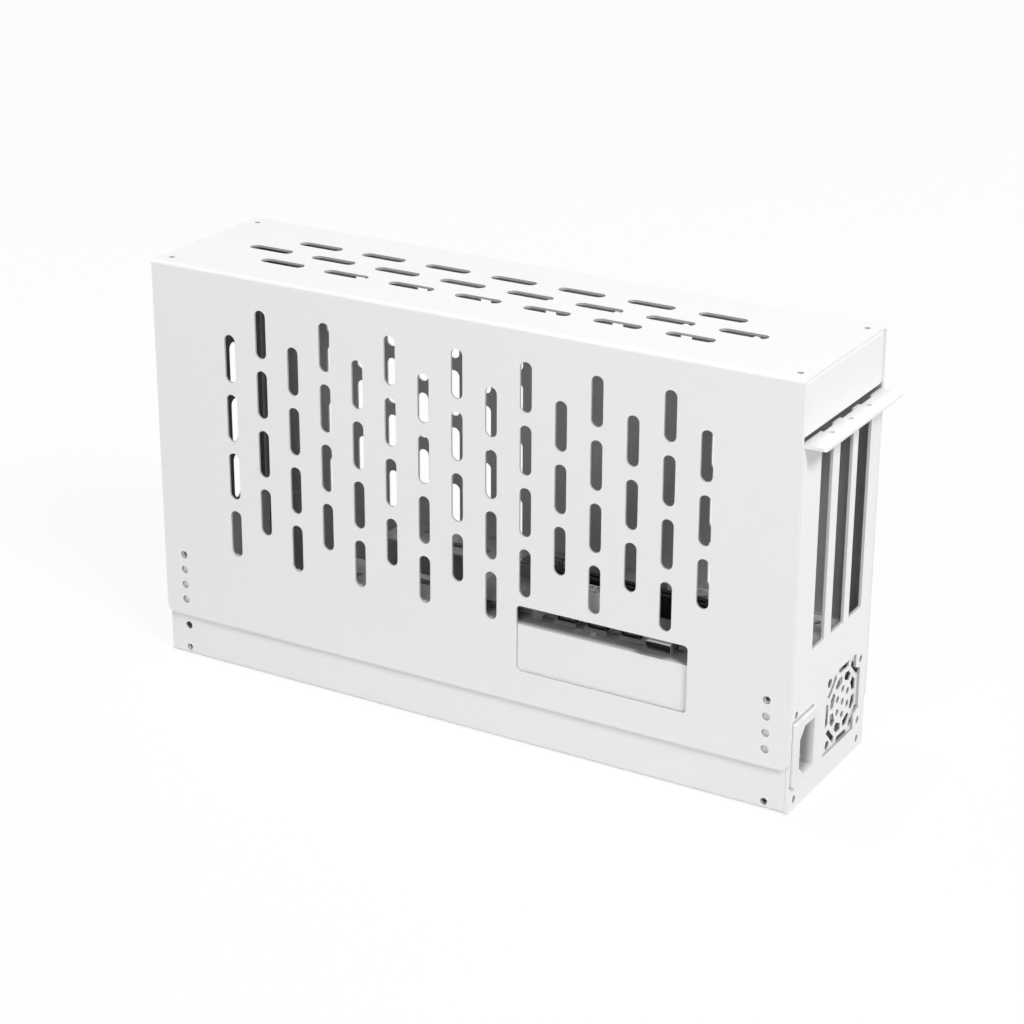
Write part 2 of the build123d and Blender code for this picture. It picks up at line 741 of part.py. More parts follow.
def dock_board():
    """Circuit board with a slotted tab at its front edge, and a cut-out for the link port."""
    body = block((board_left, board_right), (board_front, board_back), (board_bottom, board_top))
    tab = block((tab_left, tab_right), (tab_front, board_front), (board_bottom, board_top))
    body += fillet(tab.edges().filter_by(Axis.Z).group_by(Axis.Y)[0], tab_corner)
    z = (board_bottom - overshoot, board_top + overshoot)
    half = tab_slot_width / 2
    for place in tab_slot_places:
        x = tab_left + place
        centre = tab_front + tab_slot_depth - half
        body -= block((x - half, x + half), (tab_front - overshoot, centre), z)
        body -= rod("z", half, *z, (x, centre))
    x = tab_left + tab_slit_place
    slit = (x - tab_slit_width / 2, x + tab_slit_width / 2)
    body -= block(slit, (tab_front - overshoot, tab_front + tab_slit_depth), z)
    x = (port_left - port_fit, port_right + port_fit)
    body -= block(x, (board_front - overshoot, port_back + port_fit), z)
    for place in post_places:
        body -= rod("z", post_screw / 2 + screw_clearance, *z, place)
    return body


def board_posts():
    """Hexagonal standoffs between the shelf and the board."""
    posts = []
    for x, y in post_places:
        hexagon = Pos(x, y) * RegularPolygon(post_width / 2, 6, major_radius=False)
        post = extrude(Plane.XY.offset(shelf_top) * hexagon, standoff_height)
        post -= rod("z", post_screw / 2, shelf_top + sheet, board_bottom + overshoot, (x, y))
        posts.append(post)
    return Compound(posts)


def board_screws():
    """Round-headed screws that hold the board on its standoffs."""
    screws = []
    for place in post_places:
        head = rod("z", post_head / 2, board_top, board_top + post_head_height, place)
        head = fillet(head.edges().group_by(Axis.Z)[-1], post_head_height / 2)
        head += rod("z", post_screw / 2, shelf_top + sheet, board_top, place)
        screws.append(head)
    return Compound(screws)


def card_slot():
    """Edge socket for the card: a bar with a keyed groove, and two cheeks that carry the latch."""
    half = card_slot_width / 2
    top = board_top + card_slot_height
    body = block((card_left, card_right), (card_y - half, card_y + half), (board_top, top))
    key_right = card_right - card_key_place
    groove = (card_y - card_groove / 2, card_y + card_groove / 2)
    depth = (top - card_groove_depth, top + overshoot)
    body -= block((card_left + card_groove_end, key_right - card_key), groove, depth)
    body -= block((key_right, card_right - card_groove_end), groove, depth)
    for side in (-1, 1):
        y = sorted((card_y + side * half, card_y + side * (half - latch_cheek)))
        cheek = block((card_left - latch_length, card_left), y, (board_top, latch_z + latch_pivot_rise))
        outer_edge = cheek.edges().filter_by(Axis.Y).group_by(Axis.Z)[-1].sort_by(Axis.X)[0]
        body += fillet(outer_edge, latch_pivot_rise)
    limits = (card_y - half - overshoot, card_y + half + overshoot)
    body -= rod("y", latch_pin / 2 + latch_pin_clearance, *limits, (latch_x, latch_z))
    return body


def card_slot_latch():
    """Lever that hooks over the end of a card, on a pin of its own between the cheeks."""
    foot = latch_pivot_rise - 1
    top = latch_height - latch_pivot_rise
    hook = latch_length / 2 - latch_gap
    outline = Polygon(
        (-foot, -foot),
        (foot, -foot),
        (foot, top - 3),
        (hook, top - 2.4),
        (hook, top - 1),
        (1, top),
        (-foot, top),
        (-foot - 3.5, top - 2.2),
        (-foot - 3.5, top - 3.6),
        (-foot, top - 5),
        align=None,
    )
    outline = fillet(outline.vertices().group_by(Axis.Y)[0], foot * 0.9)
    half = card_slot_width / 2 - latch_cheek - latch_gap
    lever = extrude(Plane.XZ.offset(-half) * outline, 2 * half)
    pin = card_slot_width / 2
    lever += rod("y", latch_pin / 2, -pin, pin, (0, 0))
    return Pos(latch_x, card_y, latch_z) * lever


def port_outline(shrink):
    return RectangleRounded(port_width - 2 * shrink, port_height - 2 * shrink, port_round - shrink)


def port_plane(y):
    middle = Pos((port_left + port_right) / 2, port_bottom + port_height / 2)
    return Plane.XZ.offset(-y) * middle


def link_port_shell():
    """Drawn metal shell of the link port, open to the front, with a lug on each side on the board."""
    body = extrude(port_plane(port_back) * port_outline(0), port_depth)
    body -= extrude(port_plane(port_back + overshoot) * port_outline(port_skin), port_depth + 2 * overshoot)
    lug_y = (board_front + port_round, port_back - port_round)
    for side, inward in ((port_left, port_skin), (port_right, -port_skin)):
        x = sorted((side + inward, side - math.copysign(port_lug, inward)))
        body += block(x, lug_y, (board_top, board_top + port_skin))
    return body


def link_port_insert():
    """Moulded block inside the shell, with a tongue that stands free in its mouth."""
    rear = port_back - port_depth / 3
    body = extrude(port_plane(port_back) * port_outline(port_skin), port_depth / 3)
    tongue = Rectangle(port_width * 0.7, port_height * 0.2)
    return body + extrude(port_plane(rear) * tongue, port_depth / 2)


def power_socket():
    """Upright power socket with two rows of cells."""
    right = wall_back - socket_wall_gap
    back = card_y - card_slot_width / 2 - socket_slot_gap
    top = board_top + socket_height
    body = block((right - socket_length, right), (back - socket_depth, back), (board_top, top))
    middle = (right - socket_length / 2, back - socket_depth / 2)
    for column in range(socket_cells):
        for row in (-0.5, 0.5):
            x = middle[0] + (column - (socket_cells - 1) / 2) * socket_cell_pitch
            y = middle[1] + row * socket_cell_pitch
            half = socket_cell / 2
            z = (top - socket_cell_depth, top + overshoot)
            body -= block((x - half, x + half), (y - half, y + half), z)
    return body


def edge_sockets():
    """Low sockets along the board's front tab, each open to the front."""
    front = tab_front + edge_socket_inset
    sockets = []
    for place in edge_socket_places:
        x = (tab_left + place - edge_socket_length / 2, tab_left + place + edge_socket_length / 2)
        socket = block(x, (front, front + edge_socket_depth), (board_top, board_top + edge_socket_height))
        wall = edge_socket_wall
        socket -= block(
            (x[0] + wall, x[1] - wall),
            (front - overshoot, front + edge_socket_depth - wall),
            (board_top + wall, board_top + edge_socket_height - wall),
        )
        sockets.append(socket)
    return Compound(sockets)


def controller_heat_sink():
    """Finned heat sink on the board's controller."""
    x = (board_left + sink_side, board_left + sink_side + sink_size)
    front = card_y + card_slot_width / 2 + sink_slot_gap
    body = block(x, (front, front + sink_size), (board_top, board_top + sink_base))
    step = (sink_size - sink_fin) / (sink_fins - 1)
    for fin in range(sink_fins):
        y = front + fin * step
        body += block(x, (y, y + sink_fin), (board_top, board_top + sink_height))
    return body


def board_chokes():
    """Square moulded chokes of the board's supply."""
    chokes = []
    for x, y in choke_places:
        choke = Pos(board_left + x, board_front + y, board_top) * Box(
            choke_size, choke_size, choke_height, align=(Align.MIN, Align.MIN, Align.MIN)
        )
        chokes.append(chamfer(choke.edges().filter_by(Axis.Z), choke_size / 8))
    return Compound(chokes)


def board_capacitors():
    """Upright can capacitors on the board."""
    cans = []
    for x, y in can_places:
        can = rod("z", can_radius, board_top, board_top + can_height, (board_left + x, board_front + y))
        cans.append(fillet(can.edges().group_by(Axis.Z)[-1], can_radius / 6))
    return Compound(cans)


psu_board_bottom = psu_bottom + psu_sheet + psu_board_gap
psu_board_top = psu_board_bottom + board_thick
psu_board_left = psu_left + psu_board_margin
psu_board_right = inlet_floor - inlet_wall - pin_tail - psu_board_margin
psu_board_front = -psu_width / 2 + psu_board_margin


def psu_board():
    """Circuit board inside the power supply."""
    return block(
        (psu_board_left, psu_board_right),
        (psu_board_front, -psu_board_front),
        (psu_board_bottom, psu_board_top),
    )


def psu_posts():
    """Pillars between the power supply's floor and its circuit board."""
    inset = psu_post_radius + 1
    y = psu_board_front + inset
    return Compound([
        rod("z", psu_post_radius, psu_bottom + psu_sheet, psu_board_bottom, (x, side * y))
        for x in (psu_board_left + inset, psu_board_right - inset)
        for side in (-1, 1)
    ])


def on_psu_board(size, place):
    """Block of a given size that stands on the power supply's board."""
    low = (psu_board_left + place[0], psu_board_front + place[1])
    return block(
        (low[0], low[0] + size[0]),
        (low[1], low[1] + size[1]),
        (psu_board_top, psu_board_top + size[2]),
    )


def psu_transformer():
    core = on_psu_board(transformer_size, transformer_place)
    return fillet(core.edges().filter_by(Axis.Z), transformer_size[1] / 10)


def psu_capacitors():
    cans = []
    for x, y in psu_can_places:
        place = (psu_board_left + x, psu_board_front + y)
        can = rod("z", psu_can_radius, psu_board_top, psu_board_top + psu_can_height, place)
        cans.append(fillet(can.edges().group_by(Axis.Z)[-1], psu_can_radius / 8))
    return Compound(cans)


def psu_heat_sinks():
    return Compound([on_psu_board(psu_sink_size, place) for place in psu_sink_places])


nodes = {
    "hood": hood,
    "right_end_plate": right_end_plate,
    "left_end_plate": left_end_plate,
    "base_tray": base_tray,
    "right_end_wall": right_end_wall,
    "left_end_wall": left_end_wall,
    "shelf": shelf,
    "psu_case": psu_case,
    "psu_lid": psu_lid,
    "psu_board": psu_board,
    "psu_posts": psu_posts,
    "psu_transformer": psu_transformer,
    "psu_capacitors": psu_capacitors,
    "psu_heat_sinks": psu_heat_sinks,
    "fan_frame": fan_frame,
    "fan_rotor": fan_rotor,
    "inlet_body": inlet_body,
    "inlet_pins": inlet_pins,
    "dock_board": dock_board,
    "board_posts": board_posts,
    "board_screws": board_screws,
    "card_slot": card_slot,
    "card_slot_latch": card_slot_latch,
    "link_port_shell": link_port_shell,
    "link_port_insert": link_port_insert,
    "power_socket": power_socket,
    "edge_sockets": edge_sockets,
    "controller_heat_sink": controller_heat_sink,
    "board_chokes": board_chokes,
    "board_capacitors": board_capacitors,
}

os.makedirs("parts", exist_ok=True)
for name, make in nodes.items():
    export_step(make(), os.path.join("parts", name + ".step"))
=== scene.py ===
import math

import bpy
import numpy as np
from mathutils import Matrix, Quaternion, Vector


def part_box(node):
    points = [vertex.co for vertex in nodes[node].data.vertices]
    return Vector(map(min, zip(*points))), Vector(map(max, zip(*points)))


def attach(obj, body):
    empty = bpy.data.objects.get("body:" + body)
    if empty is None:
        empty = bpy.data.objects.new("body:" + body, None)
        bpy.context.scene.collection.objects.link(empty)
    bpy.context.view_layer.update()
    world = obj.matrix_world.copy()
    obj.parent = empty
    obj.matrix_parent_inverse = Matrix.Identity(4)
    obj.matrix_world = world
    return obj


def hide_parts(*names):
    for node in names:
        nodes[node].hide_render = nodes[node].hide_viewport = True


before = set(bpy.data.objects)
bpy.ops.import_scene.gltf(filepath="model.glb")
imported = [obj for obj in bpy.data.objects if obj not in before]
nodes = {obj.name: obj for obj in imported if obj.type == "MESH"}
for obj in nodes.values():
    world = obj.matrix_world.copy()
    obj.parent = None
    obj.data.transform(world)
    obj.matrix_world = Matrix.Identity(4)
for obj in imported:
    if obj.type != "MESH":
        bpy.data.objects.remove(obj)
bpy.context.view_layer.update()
scene = bpy.context.scene
scene.view_settings.view_transform = "Standard"

mm = 0.001

# Sheet sizes that the paint follows
sheet = 1.2 * mm
wall_sheet = 1.5 * mm
case_sheet = 0.8 * mm
fold = 1.8 * mm
hood_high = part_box("hood")[1]
wall_face = hood_high.x
ledge_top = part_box("right_end_wall")[1].z

# Soft steps into a sheet, as shares of its thickness
folded_inside = (0.8, 0.95)
flat_inside = (0.9, 0.98)
punched_edge = (0.05, 0.25)
wall_edge = (0.05, 0.2)
plate_edge = (0.3, 0.6)

# Tones of the paint, and of painted shade on cut edges, inner skins, the shelf and the power
# supply's lid
coat_tone = 0.855
coat_drift = 0.01
# Painted shade on cut edges
edge_shade_tones = (0.40, 0.46)
# Painted shade: inner skins darker grey than the coat, darkest towards the ends
inner_shade_tones = (0.47, 0.52)
end_shade_tone = 0.16
# Painted shade: the shelf's coat mid grey
shelf_shade_tone = 0.5
# Painted shade: the power supply's lid near black
lid_shade_tone = 0.08

# Places on the dock board
board_depth = 51.1 * mm
board_thick = 1.6 * mm
board_low, board_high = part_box("dock_board")
board_top = board_high.z
board_left = board_low.x
board_front = board_high.y - board_depth


class Wire:
    """An output socket of a node tree: arithmetic adds Math nodes, and node() adds any other."""

    def __init__(self, tree, socket=None):
        self.tree = tree
        self.socket = socket

    def node(self, kind, settings=None, inputs=None, output=0):
        """Adds a node: its settings first, then values or wires. Returns one of its outputs."""
        made = self.tree.nodes.new("ShaderNode" + kind)
        for name, value in (settings or {}).items():
            setattr(made, name, value)
        for name, value in (inputs or {}).items():
            if isinstance(value, Wire):
                self.tree.links.new(value.socket, made.inputs[name])
            else:
                made.inputs[name].default_value = value
        return Wire(self.tree, made.outputs[output] if made.outputs else None)

    def math(self, operation, *values):
        """Math node on these values, in their order."""
        return self.node("Math", {"operation": operation}, dict(enumerate(values)))

    def __add__(self, other):
        return self.math("ADD", self, other)

    __radd__ = __add__

    def __sub__(self, other):
        return self.math("SUBTRACT", self, other)

    def __rsub__(self, other):
        return self.math("SUBTRACT", other, self)

    def __mul__(self, other):
        return self.math("MULTIPLY", self, other)

    __rmul__ = __mul__

    def __truediv__(self, other):
        return self.math("DIVIDE", self, other)

    def __rtruediv__(self, other):
        return self.math("DIVIDE", other, self)

    def __lt__(self, other):
        return self.math("LESS_THAN", self, other)

    def __gt__(self, other):
        return self.math("GREATER_THAN", self, other)

    def __abs__(self):
        return self.math("ABSOLUTE", self)

    def either(self, other):
        """The larger of two values."""
        return self.math("MAXIMUM", self, other)

    def smooth(self, low, high):
        """Soft step from 0 at low to 1 at high."""
        span = {"Value": self, "From Min": low, "From Max": high}
        return self.node("MapRange", {"interpolation_type": "SMOOTHSTEP"}, span)

    def mix(self, first, second):
        """Blend of two colours by this mask."""
        pair = [(*part, 1) if isinstance(part, tuple) else part for part in (first, second)]
        return self.node("Mix", {"data_type": "RGBA"}, {0: self, 6: pair[0], 7: pair[1]}, 2)

    def axis(self, letter):
        """X, Y or Z of a place."""
        return self.node("SeparateXYZ", inputs={0: self}, output=letter)


def start_material(name):
    """New material with an empty tree, and the place on its surface in metres."""
    material = bpy.data.materials.new(name)
    material.use_nodes = True
    material.node_tree.nodes.clear()
    place = Wire(material.node_tree).node("TexCoord", output="Object")
    return material, place


def finish_material(sockets, height, depth, strength):
    """Principled surface with these socket values or wires, bumped by a height wire."""
    relief = {"Height": height, "Distance": depth, "Strength": strength}
    normal = height.node("Bump", inputs=relief)
    surface = height.node("BsdfPrincipled", inputs={**sockets, "Normal": normal})
    height.node("OutputMaterial", inputs={"Surface": surface})


def noise(place, scale, detail=2.0, roughness=0.5):
    """Fractal noise from 0 to 1, with scale in waves a metre."""
    sockets = {"Vector": place, "Scale": scale, "Detail": detail, "Roughness": roughness}
    return place.node("TexNoise", inputs=sockets)


def bands(place, letter, sockets):
    """Wavy bands from 0 to 1, one after another along an axis."""
    settings = {"wave_type": "BANDS", "bands_direction": letter}
    return place.node("TexWave", settings, {"Vector": place, **sockets}, 1)


def stretched(place, scale):
    """Place stretched by a factor along each axis."""
    return place.node("Mapping", inputs={"Vector": place, "Scale": scale})


def grey(value):
    """Neutral colour of this tone."""
    return (value, value, value)


def scaled(colour, share):
    """Colour times a share, no brighter than white."""
    return tuple(min(1, share * part) for part in colour)


def skin_depth(across, up, radius):
    """Depth under the outer skin of a fold, where across and up are distances past its start.

    The radius less the distance from the fold's axis. Where both distances are below zero, the
    radius plus the shorter of them.
    """
    side, rise = across.either(0.0), up.either(0.0)
    reach = side * side + rise * rise
    flat = across.either(up)
    return radius - reach.math("SQRT", reach) - flat.math("MINIMUM", flat, 0.0)


def layer(depth, thick, span):
    """Soft step over a span of depths, given as shares of the sheet's thickness."""
    near, far = span
    return depth.smooth(near * thick, far * thick)


# Masks of painted shade on the coated sheets: the darker inner skin, and darker cut edges


def hood_masks(place):
    """Inner skin of the hood up to its painted right end, and punched edges clear of both ends."""
    x, y, z = map(place.axis, "XYZ")
    depth = skin_depth(abs(y) - (hood_high.y - fold), z - (hood_high.z - fold), fold)
    past_right = (hood_high.x - x).smooth(0.8 * mm, 1.6 * mm)
    past_ends = (hood_high.x - abs(x)).smooth(0.6 * mm, 1.0 * mm)
    inner = layer(depth, sheet, folded_inside) * past_right
    return inner, layer(depth, sheet, punched_edge) * past_ends


def tray_masks(place):
    """Inner skin of the base, and its cut edges apart from the front wall's painted rim."""
    y, z = map(place.axis, "YZ")
    low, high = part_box("base_tray")
    depth = skin_depth(abs(y) - (high.y - fold), low.z + fold - z, fold)
    below_rim = 1 - z.smooth(high.z - 3 * mm, high.z - 2 * mm)
    # Painted shade on cut edges below the front wall's rim and all along the rear
    shaded_cuts = below_rim.either(y > 0.0)
    return layer(depth, sheet, folded_inside), layer(depth, sheet, punched_edge) * shaded_cuts


def right_plate_masks(place):
    """Inner skin of the right plate, and the deeper part of its edges."""
    x, z = map(place.axis, "XZ")
    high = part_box("right_end_plate")[1]
    depth = skin_depth(x - (high.x - fold), z - (high.z - fold), fold)
    return layer(depth, sheet, folded_inside), layer(depth, sheet, plate_edge)


def left_plate_masks(place):
    """Inner skin of the left plate, and the edges of its slots."""
    x, z = map(place.axis, "XZ")
    low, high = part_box("left_end_plate")
    depth = skin_depth(low.x + fold - x, z - (high.z - fold), fold)
    return layer(depth, sheet, folded_inside), layer(depth, sheet, punched_edge)


def wall_masks(place):
    """Inner skin of the right end wall, and cut edges of its holes, long slots and ledge holes."""
    x, y, z = map(place.axis, "XYZ")
    clear_side = 41 * mm
    holes_top = 58 * mm
    slots_top = ledge_top - 3 * mm
    slot_share, ledge_share = 0.45, 0.5
    ledge_near, ledge_far = wall_face + 1.6 * mm, wall_face + 5.4 * mm
    depth = wall_face - x
    share = slot_share + (1 - slot_share) * (z < holes_top)
    holes = layer(depth, wall_sheet, wall_edge) * share * (z < slots_top)
    under = layer(ledge_top - z, wall_sheet, wall_edge)
    ledge_holes = under * (x > ledge_near) * (x < ledge_far)
    cut = holes.either(ledge_share * ledge_holes) * (abs(y) < clear_side)
    return layer(depth, wall_sheet, flat_inside), cut


def case_masks(place):
    """Inner skin of the power supply's outer face, and the edges of its grille."""
    depth = wall_face - wall_sheet - place.axis("X")
    return layer(depth, case_sheet, flat_inside), layer(depth, case_sheet, punched_edge)


def inlet_mouth_shade(place):
    """Mouth of the mains inlet, from just behind its face, where shade is painted."""
    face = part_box("inlet_body")[1].x
    return (face - place.axis("X")).smooth(0.1 * mm, 5 * mm)


# Finishes


def powder_coat(name, masks=None, tone=coat_tone):
    """Powder coat with a fine orange peel.

    Masks give painted shade: a darker inner skin and darker cut edges. The inner shade deepens
    over a short way at the left end, and less but over a long way towards the right end.
    """
    material, place = start_material(name)
    right_light_share = 0.62
    peel = noise(place, scale=700)
    cloud = noise(place, scale=12, detail=3)
    coat = cloud.mix(grey(tone - coat_drift), grey(tone + coat_drift))
    rough = 0.36 + 0.08 * cloud + 0.05 * peel
    if masks:
        inner, cut = masks(place)
        x = place.axis("X")
        # Painted shade inside, deeper towards both ends
        from_left = (x + wall_face).smooth(2 * mm, 30 * mm)
        from_right = (wall_face - x).smooth(0.0, 120 * mm)
        inner_light_share = from_left * (right_light_share + (1 - right_light_share) * from_right)
        # Painted shade on the cut edges
        edge = cloud.mix(*map(grey, edge_shade_tones))
        inner_shade = cloud.mix(*map(grey, inner_shade_tones))
        coat = inner.mix(cut.mix(coat, edge), inner_light_share.mix(grey(end_shade_tone), inner_shade))
        rough = rough + 0.2 * inner
    sockets = {"Base Color": coat, "Roughness": rough}
    finish_material(sockets, height=peel, depth=0.06 * mm, strength=0.35)
    return material


def moulded(name, colour, rough=0.42, gloss=0.5, shade=None):
    """Moulded plastic with a fine grain; shade gives the mask and colour of painted shade inside.
    """
    material, place = start_material(name)
    fine = noise(place, scale=2600, roughness=0.6)
    cloud = noise(place, scale=60, detail=3)
    tone = cloud.mix(scaled(colour, 0.92), scaled(colour, 1.06))
    if shade:
        mask, dark = shade
        tone = mask(place).mix(tone, dark)
    grain = rough - 0.06 + 0.12 * fine
    sockets = {"Base Color": tone, "Roughness": grain, "Specular IOR Level": gloss}
    finish_material(sockets, height=fine, depth=0.04 * mm, strength=0.3)
    return material


def plated_steel(name):
    """Bright plated steel with fine scratches along X and Y."""
    material, place = start_material(name)
    plating = (0.68, 0.68, 0.69)
    along = noise(stretched(place, (1, 30, 30)), scale=120, detail=3, roughness=0.7)
    across = noise(stretched(place, (30, 1, 30)), scale=120, detail=3, roughness=0.7)
    scratch = along * across
    shade = noise(place, scale=200).mix(scaled(plating, 0.9), plating)
    sockets = {"Base Color": shade, "Metallic": 1.0, "Roughness": 0.2 + 0.3 * scratch}
    finish_material(sockets, height=scratch, depth=0.03 * mm, strength=0.3)
    return material


def satin_shell(name):
    """Drawn port shell: pale satin plating outside, with painted shade at its mouth and inside."""
    material, place = start_material(name)
    x, y, z = map(place.axis, "XYZ")
    bend = 1.2 * mm
    mouth_shade = grey(0.10)
    low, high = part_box("link_port_shell")
    middle, half = (low + high) / 2, (high - low) / 2
    across = abs(x - middle.x) - (half.x - bend)
    up = abs(z - middle.z) - (half.z - bend)
    inside = skin_depth(across, up, bend).smooth(0.1 * mm, 0.22 * mm)
    rim = 1 - (y - low.y).smooth(0.05 * mm, 0.15 * mm)
    drawn = noise(stretched(place, (30, 1, 30)), scale=90, detail=3, roughness=0.6)
    colour = inside.either(rim).mix(drawn.mix(grey(0.70), grey(0.80)), mouth_shade)
    sockets = {"Base Color": colour, "Metallic": 0.25, "Roughness": 0.42 + 0.14 * drawn}
    finish_material(sockets, height=drawn, depth=0.02 * mm, strength=0.3)
    return material


def solder_mask(name, ground, track, edge, top):
    """Circuit board: solder mask over fine tracks and rows of bare pads, with a dark sawn edge."""
    material, place = start_material(name)
    z = place.axis("Z")
    bare_metal = (0.45, 0.42, 0.34)
    skin = (0.05 * mm, 0.1 * mm)
    routes = {"Scale": 260, "Distortion": 3.0, "Detail": 1.0, "Detail Scale": 0.4}
    area = noise(place, scale=70, detail=1).smooth(0.48, 0.54)
    tracks = bands(place, "Y", routes).smooth(0.55, 0.7) * area
    grid = {"Vector": place, "Scale": 330, "Randomness": 0.35}
    dots = 1 - place.node("TexVoronoi", {"feature": "F1"}, grid).smooth(0.16, 0.2)
    pads = dots * (1 - area) * noise(place, scale=45, detail=1).smooth(0.52, 0.56)
    sawn = (top - z).smooth(*skin) * (z - top + board_thick).smooth(*skin)
    face = pads.mix(tracks.mix(ground, track), bare_metal)
    side = noise(place, scale=900).mix(edge, scaled(edge, 1.4))
    sockets = {
        "Base Color": sawn.mix(face, side),
        "Roughness": 0.38 + 0.1 * noise(place, scale=500) - 0.08 * pads,
        "Metallic": pads * 0.5 * (1 - sawn),
    }
    finish_material(sockets, height=tracks * 0.6 + pads * 0.3, depth=0.06 * mm, strength=0.5)
    return material


def extruded(name):
    """Satin anodised extrusion with faint die lines along X."""
    material, place = start_material(name)
    anodised = (0.24, 0.24, 0.245)
    lines = noise(stretched(place, (1, 40, 40)), scale=60, detail=3, roughness=0.7)
    shade = lines.mix(scaled(anodised, 0.82), anodised)
    sockets = {"Base Color": shade, "Metallic": 0.3, "Roughness": 0.5 + 0.16 * lines}
    finish_material(sockets, height=lines, depth=0.03 * mm, strength=0.4)
    return material


def can_metal(name):
    """Dull aluminium can, drawn round its axis."""
    material, place = start_material(name)
    drawn = noise(stretched(place, (1, 1, 25)), scale=200, detail=3, roughness=0.7)
    shade = drawn.mix(grey(0.42), grey(0.52))
    sockets = {"Base Color": shade, "Metallic": 0.4, "Roughness": 0.45 + 0.15 * drawn}
    finish_material(sockets, height=drawn, depth=0.03 * mm, strength=0.4)
    return material


def taped_winding(name):
    """Transformer: yellow tape round the winding between the dark halves of its core."""
    material, place = start_material(name)
    core = (0.09, 0.09, 0.095)
    dull_tape, fresh_tape = (0.62, 0.48, 0.1), (0.72, 0.58, 0.16)
    tape_share = 0.55
    low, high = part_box("psu_transformer")
    across = (place.axis("X") - (low.x + high.x) / 2) / ((high.x - low.x) / 2)
    tape = abs(across) < tape_share
    cloud = noise(place, scale=90)
    lap = bands(place, "Z", {"Scale": 60, "Distortion": 0.6})
    colour = tape.mix(core, cloud.mix(dull_tape, fresh_tape))
    sockets = {"Base Color": colour, "Roughness": 0.45 + 0.2 * cloud - 0.12 * tape}
    finish_material(sockets, height=lap * tape, depth=0.1 * mm, strength=0.3)
    return material


def pressed_ferrite(name):
    """Choke: pressed dark powder with pale specks."""
    material, place = start_material(name)
    speck = noise(place, scale=3000, roughness=0.7)
    colour = speck.mix(grey(0.10), grey(0.21))
    sockets = {"Base Color": colour, "Roughness": 0.5 + 0.2 * speck}
    finish_material(sockets, height=speck, depth=0.08 * mm, strength=0.5)
    return material


def dress(material, *names):
    """Gives CAD nodes this material alone."""
    for name in names:
        nodes[name].data.materials.clear()
        nodes[name].data.materials.append(material)


# Sheet metal
dress(powder_coat("hood_coat", hood_masks), "hood")
dress(powder_coat("right_plate_coat", right_plate_masks), "right_end_plate")
dress(powder_coat("left_plate_coat", left_plate_masks), "left_end_plate")
dress(powder_coat("tray_coat", tray_masks), "base_tray")
dress(powder_coat("wall_coat", wall_masks), "right_end_wall")
# The shelf's grey coat is painted shade
dress(powder_coat("shelf_shade_coat", tone=shelf_shade_tone), "shelf")
dress(powder_coat("left_wall_coat"), "left_end_wall")
dress(powder_coat("case_coat", case_masks), "psu_case")
# The lid's near black coat is painted shade
dress(powder_coat("lid_shade_coat", tone=lid_shade_tone), "psu_lid")

# Plastic
# Painted shade in the inlet's mouth
inlet_shade = (inlet_mouth_shade, grey(0.42))
black_plastic = moulded("black_plastic", grey(0.009), rough=0.5, gloss=0.25)
dress(moulded("inlet_plastic", grey(0.84), shade=inlet_shade), "inlet_body")
dress(moulded("fan_duct", grey(0.14)), "fan_frame")
dress(moulded("fan_blades", grey(0.82)), "fan_rotor")
dress(black_plastic, "card_slot", "card_slot_latch", "link_port_insert", "edge_sockets")
dress(moulded("white_plastic", (0.9, 0.9, 0.88)), "power_socket")
dress(moulded("can_sleeve", (0.04, 0.05, 0.08), rough=0.3), "psu_capacitors")

# Metal and boards
steel = plated_steel("bright_steel")
dock_mask = solder_mask(
    "board_mask", ground=grey(0.30), track=grey(0.33), edge=grey(0.05), top=board_top
)
supply_mask = solder_mask(
    "supply_mask",
    ground=(0.05, 0.09, 0.05),
    track=(0.09, 0.16, 0.09),
    edge=(0.12, 0.11, 0.06),
    top=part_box("psu_board")[1].z,
)
dress(steel, "psu_posts", "inlet_pins", "board_posts")
dress(satin_shell("port_steel"), "link_port_shell")
dress(dock_mask, "dock_board")
dress(supply_mask, "psu_board")
dress(extruded("heat_sink"), "psu_heat_sinks", "controller_heat_sink")
dress(taped_winding("transformer"), "psu_transformer")
dress(pressed_ferrite("choke"), "board_chokes")


# Small pieces that the solids leave plain


def sweep_faces(start, count, rows, columns):
    """Side and end faces of closed sweeps, whose first point has the index start.

    Each sweep has rows along its path by columns round its profile.
    """
    index = start + np.arange(count * rows * columns).reshape(count, rows, columns)
    beside = np.roll(index, -1, axis=2)
    sides = np.stack([index[:, :-1], beside[:, :-1], beside[:, 1:], index[:, 1:]], -1)
    ends = np.concatenate([index[:, 0, ::-1], index[:, -1]])
    return sides.reshape(-1, 4).tolist() + ends.tolist()


def build_piece(name, sweeps, material, replaced=None):
    """One mesh of closed sweeps, which rides on the base.

    Each array of sweeps goes by count, row, column and place.
    """
    crease = math.radians(40)
    points, faces, start = [], [], 0
    for sweep in sweeps:
        points.append(sweep.reshape(-1, 3))
        faces += sweep_faces(start, *sweep.shape[:3])
        start += len(points[-1])
    mesh = bpy.data.meshes.new(name)
    mesh.from_pydata(np.concatenate(points).tolist(), [], faces)
    mesh.materials.append(material)
    mesh.shade_smooth()
    mesh.set_sharp_from_angle(angle=crease)
    made = bpy.data.objects.new(name, mesh)
    scene.collection.objects.link(made)
    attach(made, "base")
    if replaced:
        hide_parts(replaced)


def turned(profile, columns, centres):
    """Profile of radius and height turned about each upright axis: r cos t, r sin t, h."""
    angle = np.arange(columns) * 2 * np.pi / columns
    radius, height = profile[:, :1], profile[:, 1:]
    ring = np.stack([radius * np.cos(angle), radius * np.sin(angle), height + 0 * angle], -1)
    return ring[None] + centres[:, None, None, :]


